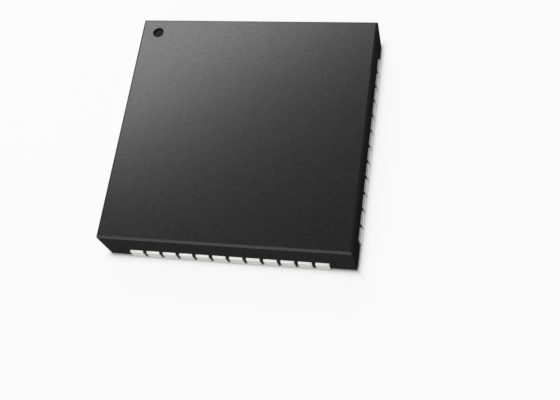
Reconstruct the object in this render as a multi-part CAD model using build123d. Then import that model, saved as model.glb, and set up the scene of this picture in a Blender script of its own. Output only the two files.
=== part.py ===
from build123d import *
import math
import os

# Forty-eight terminal surface-mount microcontroller package, all sizes in millimetres.
# Frame: +Z up, origin at the centre of the seating plane, terminal undersides at z = 0.
# Terminal 1 is at the -X side's +Y end, and the count runs anticlockwise seen from above.

# Lead frame
terminals_per_side = 12
terminal_pitch = 0.40
terminal_width = 0.32
terminal_length = 0.56
terminal_protrusion = 0.05
corner_margin = 0.59
lead_frame_thickness = 0.365
half_etch_height = 0.18
finger_extension = 0.12
finger_tip_chamfer = 0.10
keyed_round = 0.13
keyed_chamfer_along = 0.10
keyed_chamfer_across = 0.15

# Exposed pad and its tie bars
pad_to_terminal_gap = 0.59
pad_rim_overhang = 0.10
pad_corner_round = 0.11
pad_first_corner_round = 0.15
pad_corner_chamfer = 0.12
key_notch_radius = 0.20
key_notch_from_corner = 0.49
key_notch_entry_round = 0.06
tie_bar_width = 0.10
tie_bar_clearance = 0.05
tie_bar_cover = 0.25

# Moulding
package_height = 1.09
standoff = 0.03
top_edge_chamfer = 0.05
bottom_edge_bevel = 0.02
wall_corner_round = 0.03
dot_diameter = 0.27
dot_depth = 0.05
dot_from_first_side = 0.44
dot_from_last_side = 0.39

# Die and its bonds
film_thickness = 0.025
die_thickness = 0.25
die_margin = 0.45
bond_pad_inset = 0.08
bond_pad_end_inset = 0.26
wire_diameter = 0.025
wire_loop_height = 0.15
wire_foot_length = 0.05
wire_landing_inset = 0.07
wire_faces = 4

# Sizes worked out from those above
row_length = (terminals_per_side - 1) * terminal_pitch
body_side = row_length + terminal_width + 2 * corner_margin
body_half = body_side / 2
span_half = body_half + terminal_protrusion
tip_distance = span_half - terminal_length
pad_half = tip_distance - pad_to_terminal_gap
paddle_half = pad_half + pad_rim_overhang
die_half = paddle_half - die_margin
film_bottom = lead_frame_thickness
die_bottom = film_bottom + film_thickness
die_top = die_bottom + die_thickness
body_height = package_height - standoff
bond_pad_distance = die_half - bond_pad_inset
bond_pad_pitch = 2 * (die_half - bond_pad_end_inset) / (terminals_per_side - 1)

sides = ("left", "front", "right", "rear")
parts = {}


def quarter_turn(side_index, shape):
    """Carries a shape drawn for the -X side round to another side."""
    return Rot(0, 0, 90 * side_index) * shape


def row_offset(index, pitch):
    """Place along a side, counted from its first terminal, as Y on the -X side."""
    return ((terminals_per_side - 1) / 2 - index) * pitch


def bullet_outline():
    """Terminal outline with a full round at its inner end, pointing along +X from x = 0."""
    length = terminal_length
    radius = terminal_width / 2
    shank = Pos(length / 2 - radius / 2, 0) * Rectangle(length - radius, terminal_width)
    return shank + Pos(length - radius, 0) * Circle(radius)


def keyed_outline(chamfer_side):
    """Terminal outline with one inner corner round and the other cut off at a slant."""
    length = terminal_length
    half = terminal_width / 2
    start = (length - keyed_chamfer_along, chamfer_side * half)
    end = (length, chamfer_side * (half - keyed_chamfer_across))
    arc_start = (length, -chamfer_side * (half - keyed_round))
    arc_end = (length - keyed_round, -chamfer_side * half)
    lean = keyed_round * (1 - math.sqrt(0.5))
    arc_middle = (length - lean, -chamfer_side * (half - lean))
    border = Polyline((0, -chamfer_side * half), (0, chamfer_side * half), start, end, arc_start)
    border += ThreePointArc(arc_start, arc_middle, arc_end)
    border += Line(arc_end, (0, -chamfer_side * half))
    return make_face(border)


def terminal_outline(side_index):
    """The left and front rows have full rounds, the right and rear rows are keyed."""
    if side_index < 2:
        return bullet_outline()
    return keyed_outline(1 if side_index == 2 else -1)


def finger_tip(index):
    """Distance of a bonding finger's tip from the centre, clear of the corner's tie bar."""
    tip_corner = abs(row_offset(index, terminal_pitch)) + terminal_width / 2 - finger_tip_chamfer
    clear_of_bar = tip_corner + (tie_bar_width / 2 + tie_bar_clearance) * math.sqrt(2)
    return min(max(tip_distance - finger_extension, clear_of_bar), tip_distance)


def finger_outline(length):
    """Bonding finger outline, a strip with its two inner corners cut off."""
    strip = Pos(length / 2, 0) * Rectangle(length, terminal_width)
    return chamfer([v for v in strip.vertices() if v.X > length / 2], finger_tip_chamfer)


def terminal(side_index, index):
    """One lead: the soldered foot, and above the half-etched step the finger that is bonded."""
    foot = extrude(terminal_outline(side_index), half_etch_height)
    finger = extrude(finger_outline(span_half - finger_tip(index)), lead_frame_thickness - half_etch_height)
    lead = foot + Pos(0, 0, half_etch_height) * finger
    lead = Pos(-span_half, row_offset(index, terminal_pitch), 0) * lead
    return quarter_turn(side_index, lead)


def pad_outline(half):
    """The exposed pad's outline, with its chamfer, its rounds and the terminal 1 notch."""
    outline = Rectangle(2 * half, 2 * half)
    plain = [corner for corner in outline.vertices() if corner.X > 0]
    outline = fillet(plain, pad_corner_round)
    cut = outline.vertices().sort_by(Axis((0, 0, 0), (-1, -1, 0)))[-1]
    outline = chamfer(cut, pad_corner_chamfer)
    first = outline.vertices().sort_by(Axis((0, 0, 0), (-1, 1, 0)))[-1]
    outline = fillet(first, pad_first_corner_round)
    notch_y = pad_half - key_notch_from_corner
    outline -= Pos(-half, notch_y) * Circle(key_notch_radius)
    entries = [v for v in outline.vertices()
               if abs(abs(v.Y - notch_y) - key_notch_radius) < 1e-4 and abs(v.X + half) < 1e-4]
    return fillet(entries, key_notch_entry_round)


def tie_bar(corner_index):
    """A half-etched bar from the paddle's corner towards the package's corner."""
    inner = (paddle_half - pad_first_corner_round) * math.sqrt(2)
    outer = body_half * math.sqrt(2) - tie_bar_cover
    bar = Pos((inner + outer) / 2, 0) * Rectangle(outer - inner, tie_bar_width)
    bar = extrude(bar, lead_frame_thickness - half_etch_height)
    return Rot(0, 0, 45 + 90 * corner_index) * Pos(0, 0, half_etch_height) * bar


def exposed_pad():
    """The die paddle: exposed below, wider above its half-etched rim, with four tie bars."""
    lower = extrude(pad_outline(pad_half), half_etch_height)
    upper = Rectangle(2 * paddle_half, 2 * paddle_half)
    upper = fillet(upper.vertices(), pad_first_corner_round)
    paddle = lower + Pos(0, 0, half_etch_height) * extrude(upper, lead_frame_thickness - half_etch_height)
    for corner_index in range(4):
        paddle += tie_bar(corner_index)
    return paddle


def bond_wire(side_index, index):
    """One wire: straight up from the die, then down to lie on the finger of its lead."""
    radius = wire_diameter / 2
    start = Vector(-bond_pad_distance, row_offset(index, bond_pad_pitch), die_top)
    landing = Vector(-(finger_tip(index) + wire_landing_inset), row_offset(index, terminal_pitch), 0)
    run = Vector(landing.X - start.X, landing.Y - start.Y, 0)
    heading = run.normalized()
    rest = lead_frame_thickness + radius
    crown = start + Vector(0, 0, wire_loop_height)
    heel = Vector(landing.X, landing.Y, rest)
    foot = heel + heading * wire_foot_length
    path = Polyline(start, crown, heel, foot)
    ring = Plane(origin=start, z_dir=(0, 0, 1), x_dir=heading)
    section = ring * RegularPolygon(radius, wire_faces, major_radius=False, rotation=180 / wire_faces)
    wire = sweep(section, path=path, transition=Transition.RIGHT)
    return quarter_turn(side_index, wire)


def die_block(half, bottom, thickness):
    """A square plate centred on the paddle."""
    return Pos(0, 0, bottom + thickness / 2) * Box(2 * half, 2 * half, thickness)


def moulding_block():
    """The moulding's outside: edges eased above and below, and the round terminal 1 dot."""
    block = Pos(0, 0, standoff) * extrude(Rectangle(body_side, body_side), body_height)
    block = chamfer(block.faces().sort_by(Axis.Z)[-1].edges(), top_edge_chamfer)
    block = fillet(block.edges().filter_by(Axis.Z), wall_corner_round)
    block = chamfer(block.faces().sort_by(Axis.Z)[0].edges(), bottom_edge_bevel)
    dot_x = -body_half + dot_from_first_side
    dot_y = body_half - dot_from_last_side
    dot = Cylinder(dot_diameter / 2, dot_depth, align=(Align.CENTER, Align.CENTER, Align.MAX))
    return block - Pos(dot_x, dot_y, package_height) * dot


parts["exposed_pad"] = exposed_pad()
parts["die_attach_film"] = die_block(die_half, film_bottom, film_thickness)
parts["silicon_die"] = die_block(die_half, die_bottom, die_thickness)
for side_index, side in enumerate(sides):
    row = range(terminals_per_side)
    for index in row:
        number = side_index * terminals_per_side + index + 1
        parts[f"terminal_{number:02d}"] = terminal(side_index, index)
    parts[f"bond_wires_{side}"] = Compound([bond_wire(side_index, index) for index in row])

inner_solids = [solid for shape in parts.values() for solid in shape.solids()]
parts["mould_body"] = moulding_block() - inner_solids

os.makedirs("parts", exist_ok=True)
for name, shape in parts.items():
    export_step(shape, f"parts/{name}.step")
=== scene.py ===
import math
import bmesh
import bpy
from mathutils import Matrix, Vector


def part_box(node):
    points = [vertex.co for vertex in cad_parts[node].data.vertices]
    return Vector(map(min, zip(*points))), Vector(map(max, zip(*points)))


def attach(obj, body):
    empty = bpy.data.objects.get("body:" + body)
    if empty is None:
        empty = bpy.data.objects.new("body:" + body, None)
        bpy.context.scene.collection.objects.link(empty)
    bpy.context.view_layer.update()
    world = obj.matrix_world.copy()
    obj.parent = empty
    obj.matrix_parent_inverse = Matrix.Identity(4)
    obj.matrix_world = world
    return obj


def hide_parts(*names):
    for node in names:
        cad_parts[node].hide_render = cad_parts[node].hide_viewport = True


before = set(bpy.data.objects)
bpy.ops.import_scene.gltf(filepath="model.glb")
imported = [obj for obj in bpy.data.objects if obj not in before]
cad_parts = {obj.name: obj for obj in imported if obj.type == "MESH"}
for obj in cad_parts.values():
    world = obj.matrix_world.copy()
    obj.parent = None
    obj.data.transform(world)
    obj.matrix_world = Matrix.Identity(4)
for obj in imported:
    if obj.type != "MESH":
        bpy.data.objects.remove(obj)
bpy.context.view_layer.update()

# Sizes in metres, as in the frame
mm = 0.001
terminals_per_side = 12
foot_length = 0.56 * mm
half_etch_height = 0.18 * mm
keyed_round = 0.13 * mm
keyed_chamfer_along = 0.10 * mm
keyed_chamfer_across = 0.15 * mm
finger_tip_chamfer = 0.10 * mm
plating_round = 0.007 * mm
rim_round = 0.014 * mm
corner_round = 0.016 * mm  # more than rim_round, so that a rim never folds over at a corner
sharp_deg = 40
lead_smooth_deg = 24
mould_smooth_deg = 28
protrusion = 0.05 * mm
sill_drop = 0.024 * mm
pad_half = 1.85 * mm
pad_corner_round = 0.11 * mm
pad_first_corner_round = 0.15 * mm
pad_corner_chamfer = 0.12 * mm
key_notch_radius = 0.20 * mm
key_notch_from_corner = 0.49 * mm
key_notch_entry_round = 0.06 * mm
dot_centre = (-2.51 * mm, 2.56 * mm)
dot_radius = 0.135 * mm
arc_steps = 14
edge_steps = 4

# Finishes
noise_used = (0.3, 0.7)  # the part of a noise's range that is spread over a finish
mould_dark = (0.0075, 0.0075, 0.0075)
mould_light = (0.0205, 0.0205, 0.0205)
wall_dark = (0.028, 0.028, 0.028)
wall_light = (0.036, 0.036, 0.036)
mould_gloss = 0.0
top_roughness = (0.55, 0.65)
wall_roughness = 1.0
skin_weight = (0.80, 0.93)
skin_roughness = 0.28
skin_ior = 1.45
dot_skin = 0.07
satin_direction = (0.0, -0.55, 0.835)
satin_limits = (0.64, 0.78)
dot_edge = 0.006 * mm
mould_grain = 0.003 * mm
tin_grain = 0.002 * mm
tin_dark = (0.58, 0.58, 0.575)
tin_light = (0.67, 0.67, 0.665)
tin_roughness = (0.38, 0.48)

# Light
panel_target = (0, 0, 0.5 * mm)
key_place = (-8.2 * mm, 27.3 * mm, 28.3 * mm)
key_axis = (0.850, 0.443, -0.287)
key_size = (41 * mm, 7 * mm)
key_power = 0.0118
front_place = (-15 * mm, -41.5 * mm, 34.5 * mm)
front_axis = (0.94, -0.34, 0.0)
front_size = (44 * mm, 70 * mm)
front_power = 0.0175
world_level = 0.15
floor_grey = 0.72
backdrop_share = 0.91
backdrop_reach = 250 * mm
wall_heights = (62 * mm, 262 * mm, 62 * mm, 62 * mm)  # front, right, rear, left
# Painted contact shade on the floor: its white fades in from shade_start to shade_end out from the
# part's centre, steeper as shade_fade grows
shade_start = 2.95 * mm
shade_end = 3.9 * mm
shade_fade = 16.0

# Camera
camera_place = (5.535 * mm, -9.185 * mm, 18.853 * mm)
camera_turn_deg = (23.674, 10.448, 7.852)
camera_lens = 57.022


def new_material(name):
    """An empty node material with its Principled shader."""
    material = bpy.data.materials.new(name)
    material.use_nodes = True
    nodes = material.node_tree.nodes
    shader = nodes["Principled BSDF"]
    return material, nodes, material.node_tree.links, shader


def place_of(nodes):
    """Position on the part in the frame's own coordinates."""
    return nodes.new("ShaderNodeTexCoord").outputs["Object"]


def noise(nodes, links, stretch, detail=4.0, roughness=0.55):
    """Noise with stretch features per millimetre along X, Y and Z."""
    mapping = nodes.new("ShaderNodeMapping")
    mapping.inputs["Scale"].default_value = [value / mm for value in stretch]
    texture = nodes.new("ShaderNodeTexNoise")
    texture.inputs["Scale"].default_value = 1.0
    texture.inputs["Detail"].default_value = detail
    texture.inputs["Roughness"].default_value = roughness
    links.new(place_of(nodes), mapping.inputs["Vector"])
    links.new(mapping.outputs["Vector"], texture.inputs["Vector"])
    return texture.outputs["Fac"]


def ramp(nodes, links, factor, low, high):
    """Spreads a noise over the range between two colours."""
    blend = nodes.new("ShaderNodeValToRGB")
    blend.color_ramp.elements[0].position = noise_used[0]
    blend.color_ramp.elements[1].position = noise_used[1]
    blend.color_ramp.elements[0].color = (*low, 1.0)
    blend.color_ramp.elements[1].color = (*high, 1.0)
    links.new(factor, blend.inputs["Fac"])
    return blend.outputs["Color"]


def value_range(nodes, links, factor, low, high, start=noise_used[0], end=noise_used[1]):
    """Maps a number between start and end to one between low and high."""
    spread = nodes.new("ShaderNodeMapRange")
    spread.inputs["From Min"].default_value = start
    spread.inputs["From Max"].default_value = end
    spread.inputs["To Min"].default_value = low
    spread.inputs["To Max"].default_value = high
    links.new(factor, spread.inputs["Value"])
    return spread.outputs["Result"]


def mix_values(nodes, links, factor, first, second):
    """Goes from first to second, a number or a socket, as factor goes from 0 to 1."""
    blend = nodes.new("ShaderNodeMix")
    blend.data_type = "FLOAT"
    links.new(factor, blend.inputs["Factor"])
    for socket, value in ((blend.inputs["A"], first), (blend.inputs["B"], second)):
        if isinstance(value, float):
            socket.default_value = value
        else:
            links.new(value, socket)
    return blend.outputs["Result"]


def mix_colours(nodes, links, factor, first, second):
    """Goes from first to second, both colour sockets, as factor goes from 0 to 1."""
    blend = nodes.new("ShaderNodeMix")
    blend.data_type = "RGBA"
    links.new(factor, blend.inputs[0])
    links.new(first, blend.inputs[6])
    links.new(second, blend.inputs[7])
    return blend.outputs[2]


def bump(nodes, links, shader, height, distance, strength):
    """Fine relief on a surface."""
    relief = nodes.new("ShaderNodeBump")
    relief.inputs["Distance"].default_value = distance
    relief.inputs["Strength"].default_value = strength
    links.new(height, relief.inputs["Height"])
    links.new(relief.outputs["Normal"], shader.inputs["Normal"])
    return relief.outputs["Normal"]


def moulded_satin(nodes, links):
    """1 on the top and the eased edge in front, 0 on the walls, the other eased edges and below."""
    lean = nodes.new("ShaderNodeVectorMath")
    lean.operation = "DOT_PRODUCT"
    lean.inputs[1].default_value = satin_direction
    links.new(nodes.new("ShaderNodeNewGeometry").outputs["Normal"], lean.inputs[0])
    return value_range(nodes, links, lean.outputs["Value"], 0.0, 1.0, *satin_limits)


def inside_dot(nodes, links):
    """1 in the moulded index mark, 0 elsewhere."""
    split = nodes.new("ShaderNodeSeparateXYZ")
    join = nodes.new("ShaderNodeCombineXYZ")
    reach = nodes.new("ShaderNodeVectorMath")
    reach.operation = "DISTANCE"
    reach.inputs[1].default_value = (*dot_centre, 0.0)
    links.new(place_of(nodes), split.inputs["Vector"])
    links.new(split.outputs["X"], join.inputs["X"])
    links.new(split.outputs["Y"], join.inputs["Y"])
    links.new(join.outputs["Vector"], reach.inputs[0])
    outside = dot_radius + dot_edge
    return value_range(nodes, links, reach.outputs["Value"], 1.0, 0.0, dot_radius, outside)


def mould_compound():
    """Black filled epoxy: the top has a satin skin with a fine mottle along X, the walls are matte."""
    material, nodes, links, shader = new_material("mould_compound")
    mottle = noise(nodes, links, (8.0, 28.0, 20.0), detail=5.0, roughness=0.65)
    grain = noise(nodes, links, (22.0, 46.0, 40.0), detail=3.0)
    skin = moulded_satin(nodes, links)
    clear = mix_values(nodes, links, inside_dot(nodes, links), skin, dot_skin)
    walls = ramp(nodes, links, mottle, wall_dark, wall_light)
    top = ramp(nodes, links, mottle, mould_dark, mould_light)
    links.new(mix_colours(nodes, links, skin, walls, top), shader.inputs["Base Color"])
    filler = value_range(nodes, links, mottle, *top_roughness)
    links.new(mix_values(nodes, links, clear, wall_roughness, filler), shader.inputs["Roughness"])
    patchy = nodes.new("ShaderNodeMath")
    patchy.operation = "MULTIPLY"
    links.new(clear, patchy.inputs[0])
    links.new(value_range(nodes, links, mottle, *skin_weight), patchy.inputs[1])
    links.new(patchy.outputs["Value"], shader.inputs["Coat Weight"])
    relief = bump(nodes, links, shader, grain, mould_grain, 0.4)
    links.new(relief, shader.inputs["Coat Normal"])
    shader.inputs["Coat Roughness"].default_value = skin_roughness
    shader.inputs["Coat IOR"].default_value = skin_ior
    shader.inputs["Specular IOR Level"].default_value = mould_gloss
    return material


def tin_plating(name, stretch):
    """Matte tin over copper: satin, with faint streaks and a fine grain."""
    material, nodes, links, shader = new_material(name)
    streak = noise(nodes, links, stretch, detail=4.0)
    grain = noise(nodes, links, (90.0, 90.0, 90.0), detail=2.0)
    links.new(ramp(nodes, links, streak, tin_dark, tin_light), shader.inputs["Base Color"])
    links.new(value_range(nodes, links, streak, *tin_roughness), shader.inputs["Roughness"])
    bump(nodes, links, shader, grain, tin_grain, 0.25)
    shader.inputs["Metallic"].default_value = 1.0
    return material


def plain_inner(name, dark, light, metallic, roughness):
    """Surfaces sealed inside the moulding."""
    material, nodes, links, shader = new_material(name)
    speckle = noise(nodes, links, (12.0, 12.0, 12.0))
    links.new(ramp(nodes, links, speckle, dark, light), shader.inputs["Base Color"])
    links.new(value_range(nodes, links, speckle, roughness, roughness + 0.1), shader.inputs["Roughness"])
    shader.inputs["Metallic"].default_value = metallic
    return material


def arc(centre, radius, start_deg, end_deg, steps=arc_steps):
    """Points along a circular arc, both ends included."""
    points = []
    for step in range(steps + 1):
        angle = math.radians(start_deg + (end_deg - start_deg) * step / steps)
        points.append((centre[0] + radius * math.cos(angle), centre[1] + radius * math.sin(angle)))
    return points


def bullet_outline(width):
    """Foot outline with a full round inner end, along +X from x = 0."""
    radius = width / 2
    return [(0, -radius), *arc((foot_length - radius, 0), radius, -90, 90, 2 * arc_steps), (0, radius)]


def keyed_outline(width, chamfer_side):
    """Foot outline with one inner corner round and the other slanted."""
    half = width / 2
    points = [(0, -half), *arc((foot_length - keyed_round, keyed_round - half), keyed_round, -90, 0)]
    points += [(foot_length, half - keyed_chamfer_across), (foot_length - keyed_chamfer_along, half)]
    points += [(0, half)]
    if chamfer_side < 0:
        points = [(x, -y) for x, y in reversed(points)]
    return points


def neighbours(outline):
    """Each point of a closed outline with the steps that lead to it and on from it."""
    points = [Vector(point) for point in outline]
    for before, point, after in zip(points[-1:] + points[:-1], points, points[1:] + points[:1]):
        yield point, point - before, after - point


def eased(outline):
    """An anticlockwise outline with its sharp corners rounded."""
    points = []
    for corner, before, after in neighbours(outline):
        turn = before.angle(after)
        if turn < math.radians(sharp_deg):
            points.append(corner)
            continue
        start = corner - before.normalized() * corner_round * math.tan(turn / 2)
        centre = start + Vector((-before.y, before.x)).normalized() * corner_round
        start_deg = math.degrees(math.atan2(-before.x, before.y))
        points += arc(centre, corner_round, start_deg, start_deg + math.degrees(turn), edge_steps)
    return points


def drawn_in(outline, distance):
    """An anticlockwise outline drawn in by a distance all round."""
    points = []
    for point, before, after in neighbours(outline):
        heading = before.normalized() + after.normalized()
        inward = Vector((-heading.y, heading.x)).normalized()
        points.append(point + inward * distance / (heading.length / 2))
    return points


def stack(bm, outline, levels):
    """Adds a closed body on an outline, from levels of how far it is drawn in and its height."""
    rings = [[bm.verts.new((*point, height)) for point in drawn_in(outline, distance)]
             for distance, height in levels]
    bm.faces.new(list(reversed(rings[0])))
    bm.faces.new(rings[-1])
    for lower, upper in zip(rings, rings[1:]):
        for i in range(len(lower)):
            bm.faces.new((lower[i - 1], lower[i], upper[i], upper[i - 1]))


def rounded_levels(low, high):
    """Levels of a body whose lower rim is rounded, and its upper rim a little less."""
    turns = [math.radians(90 * step / edge_steps) for step in range(edge_steps + 1)]
    curve = [(1 - math.sin(turn), 1 - math.cos(turn)) for turn in turns]
    below = [(rim_round * inward, low + rim_round * rise) for inward, rise in curve]
    above = [(plating_round * inward, high - plating_round * rise) for inward, rise in curve]
    return below + above[::-1]


def even_shading(piece):
    """Keeps large flat faces flat beside their rounded edges."""
    weighted = piece.modifiers.new("even_shading", "WEIGHTED_NORMAL")
    weighted.mode = "FACE_AREA"
    weighted.keep_sharp = True


def finish_piece(bm, name, material, node):
    """Turns a bmesh into a piece that stands for a node of the frame."""
    mesh = bpy.data.meshes.new(name)
    bmesh.ops.recalc_face_normals(bm, faces=bm.faces)
    bm.to_mesh(mesh)
    bm.free()
    mesh.materials.append(material)
    piece = bpy.data.objects.new(name, mesh)
    bpy.context.scene.collection.objects.link(piece)
    mesh.shade_smooth()
    mesh.set_sharp_from_angle(angle=math.radians(lead_smooth_deg))
    even_shading(piece)
    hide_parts(node)
    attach(piece, "root")
    return piece


def slope_sill(bm):
    """Slopes the top of the part that stands out of the wall, as the cut leaves it."""
    geometry = bm.verts[:] + bm.edges[:] + bm.faces[:]
    bmesh.ops.bisect_plane(bm, geom=geometry, plane_co=(protrusion, 0, 0), plane_no=(1, 0, 0))
    for vert in bm.verts:
        if vert.co.x < protrusion and vert.co.z > half_etch_height:
            vert.co.z -= sill_drop * (1 - vert.co.x / protrusion)


def lead(number, material):
    """One terminal, its plated edges rounded, in its place in the frame."""
    node = f"terminal_{number:02d}"
    low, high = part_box(node)
    side = (number - 1) // terminals_per_side
    centre = (low + high) / 2
    along_y = side in (1, 3)
    width = (high.x - low.x) if along_y else (high.y - low.y)
    finger_length = (high.y - low.y) if along_y else (high.x - low.x)
    outer = (low.x, low.y, high.x, high.y)[side]
    if side < 2:
        outline = bullet_outline(width)
    else:
        outline = keyed_outline(width, 1 if side == 2 else -1)
    bm = bmesh.new()
    stack(bm, eased(outline), rounded_levels(low.z, high.z))
    slope_sill(bm)
    half = width / 2 - plating_round
    inner = finger_length - finger_tip_chamfer
    strip = [(foot_length / 2, -half), (inner, -half), (finger_length, finger_tip_chamfer - half),
             (finger_length, half - finger_tip_chamfer), (inner, half), (foot_length / 2, half)]
    stack(bm, strip, [(0, half_etch_height), (0, high.z)])
    turn = Matrix.Rotation(math.radians(90 * side), 4, "Z")
    bmesh.ops.rotate(bm, verts=bm.verts, cent=(0, 0, 0), matrix=turn)
    shift = (outer, centre.y, 0) if not along_y else (centre.x, outer, 0)
    bmesh.ops.translate(bm, verts=bm.verts, vec=shift)
    return finish_piece(bm, f"lead_{number:02d}", material, node)


def pad_outline():
    """The exposed pad's outline, anticlockwise from the chamfered corner."""
    half = pad_half
    r = pad_corner_round
    f = pad_first_corner_round
    c = pad_corner_chamfer
    notch_y = half - key_notch_from_corner
    e = key_notch_entry_round
    reach = key_notch_radius + e
    lean = math.degrees(math.acos(e / reach))
    entry = reach * math.sin(math.radians(lean))
    points = [(c - half, -half), *arc((half - r, r - half), r, -90, 0)]
    points += arc((half - r, half - r), r, 0, 90)
    points += arc((f - half, half - f), f, 90, 180)
    points += arc((e - half, notch_y + entry), e, 180, 180 + lean)
    points += arc((-half, notch_y), key_notch_radius, lean, -lean, 2 * arc_steps)[1:-1]
    points += arc((e - half, notch_y - entry), e, 180 - lean, 180)
    points += [(-half, c - half)]
    return points


def pad(material):
    """The exposed pad with its rounded rim."""
    low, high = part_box("exposed_pad")
    bm = bmesh.new()
    stack(bm, eased(pad_outline()), rounded_levels(low.z, high.z))
    return finish_piece(bm, "pad_face", material, "exposed_pad")


def dress_frame_nodes():
    """Materials for the frame's own nodes that stay."""
    finishes = {
        "mould_body": mould_compound(),
        "die_attach_film": plain_inner("die_attach", (0.42, 0.42, 0.40), (0.55, 0.55, 0.52), 0.0, 0.6),
        "silicon_die": plain_inner("silicon", (0.16, 0.16, 0.20), (0.22, 0.22, 0.27), 0.6, 0.25),
    }
    wire = plain_inner("bond_wire", (0.80, 0.58, 0.22), (0.92, 0.70, 0.30), 1.0, 0.25)
    for name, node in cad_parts.items():
        if name.startswith("terminal_") or name == "exposed_pad":
            continue
        node.data.materials.clear()
        node.data.materials.append(finishes.get(name, wire))
        node.data.shade_smooth()
        node.data.set_sharp_from_angle(angle=math.radians(mould_smooth_deg))
        even_shading(node)


def soft_panel(name, place, axis, size, power):
    """A rectangular soft light aimed at the part, its longer or level side along axis."""
    data = bpy.data.lights.new(name, "AREA")
    data.shape = "RECTANGLE"
    data.size = size[0]
    data.size_y = size[1]
    data.energy = power
    back = (Vector(place) - Vector(panel_target)).normalized()
    across = Vector(axis)
    across = (across - back * across.dot(back)).normalized()
    lamp = bpy.data.objects.new(name, data)
    lamp.location = place
    lamp.rotation_euler = Matrix((across, back.cross(across), back)).transposed().to_euler()
    bpy.context.scene.collection.objects.link(lamp)


def seen_or_mirrored(nodes, links):
    """1 for what the camera sees directly, in a mirror or through glass, 0 for light on the part."""
    path = nodes.new("ShaderNodeLightPath")
    total = path.outputs["Is Camera Ray"]
    for kind in ("Is Glossy Ray", "Is Transmission Ray"):
        either = nodes.new("ShaderNodeMath")
        either.operation = "MAXIMUM"
        links.new(total, either.inputs[0])
        links.new(path.outputs[kind], either.inputs[1])
        total = either.outputs["Value"]
    return total


def white_past_painted_shade(nodes, links):
    """Painted contact shade on the floor: the white's share is 0 under the part, rises fast outside its
    square and levels off at the backdrop's share.
    """
    sizes = nodes.new("ShaderNodeVectorMath")
    sizes.operation = "ABSOLUTE"
    split = nodes.new("ShaderNodeSeparateXYZ")
    longer = nodes.new("ShaderNodeMath")
    longer.operation = "MAXIMUM"
    links.new(place_of(nodes), sizes.inputs[0])
    links.new(sizes.outputs["Vector"], split.inputs["Vector"])
    links.new(split.outputs["X"], longer.inputs[0])
    links.new(split.outputs["Y"], longer.inputs[1])
    near = value_range(nodes, links, longer.outputs["Value"], 1.0, 0.0, shade_start, shade_end)
    fade = nodes.new("ShaderNodeMath")
    fade.operation = "POWER"
    fade.inputs[1].default_value = shade_fade
    links.new(near, fade.inputs[0])
    return value_range(nodes, links, fade.outputs["Value"], backdrop_share, 0.0, 0.0, 1.0)


def floor():
    """White floor with far walls. It keeps a light soft shadow; under and close around the part a
    painted contact shade fades its white out, so it is dark where the part stands on it.
    """
    mesh = bpy.data.meshes.new("floor")
    reach = backdrop_reach
    corners = [(-reach, -reach, 0), (reach, -reach, 0), (reach, reach, 0), (-reach, reach, 0)]
    faces = [(0, 1, 2, 3)]
    for i, height in enumerate(wall_heights):
        j = (i + 1) % 4
        corners += [(*corners[i][:2], height), (*corners[j][:2], height)]
        faces.append((i, j, 5 + 2 * i, 4 + 2 * i))
    mesh.from_pydata(corners, [], faces)
    sheet = bpy.data.objects.new("floor", mesh)
    bpy.context.scene.collection.objects.link(sheet)
    material = bpy.data.materials.new("floor")
    material.use_nodes = True
    nodes, links = material.node_tree.nodes, material.node_tree.links
    nodes.remove(nodes["Principled BSDF"])
    matte = nodes.new("ShaderNodeBsdfDiffuse")
    matte.inputs["Color"].default_value = (floor_grey, floor_grey, floor_grey, 1)
    white = nodes.new("ShaderNodeEmission")
    white.inputs["Strength"].default_value = 1.0
    blend = nodes.new("ShaderNodeMixShader")
    share = nodes.new("ShaderNodeMath")
    share.operation = "MULTIPLY"
    links.new(seen_or_mirrored(nodes, links), share.inputs[0])
    # Painted contact shade: no white under the part, fading in outside it
    links.new(white_past_painted_shade(nodes, links), share.inputs[1])
    links.new(share.outputs["Value"], blend.inputs["Fac"])
    links.new(matte.outputs["BSDF"], blend.inputs[1])
    links.new(white.outputs["Emission"], blend.inputs[2])
    links.new(blend.outputs["Shader"], nodes["Material Output"].inputs["Surface"])
    mesh.materials.append(material)


def studio():
    """Even surroundings, a long soft key behind the part and a broad soft panel in front."""
    world = bpy.data.worlds.new("studio")
    bpy.context.scene.world = world
    world.use_nodes = True
    surroundings = world.node_tree.nodes["Background"]
    surroundings.inputs["Color"].default_value = (1, 1, 1, 1)
    surroundings.inputs["Strength"].default_value = world_level
    soft_panel("key", key_place, key_axis, key_size, key_power)
    soft_panel("front", front_place, front_axis, front_size, front_power)


def camera():
    """The camera, fitted to the photograph's view."""
    data = bpy.data.cameras.new("camera")
    data.lens = camera_lens
    data.clip_start = 1 * mm
    data.clip_end = 10
    view = bpy.data.objects.new("camera", data)
    view.location = camera_place
    view.rotation_euler = [math.radians(value) for value in camera_turn_deg]
    bpy.context.scene.collection.objects.link(view)
    bpy.context.scene.camera = view


plating_x = tin_plating("tin_plating_x", (8.0, 60.0, 30.0))
plating_y = tin_plating("tin_plating_y", (60.0, 8.0, 30.0))
for number in range(1, 4 * terminals_per_side + 1):
    lead(number, plating_x if (number - 1) // terminals_per_side in (0, 2) else plating_y)
pad(tin_plating("tin_plating_pad", (30.0, 30.0, 30.0)))
dress_frame_nodes()
floor()
studio()
camera()
bpy.context.scene.view_settings.view_transform = "Standard"
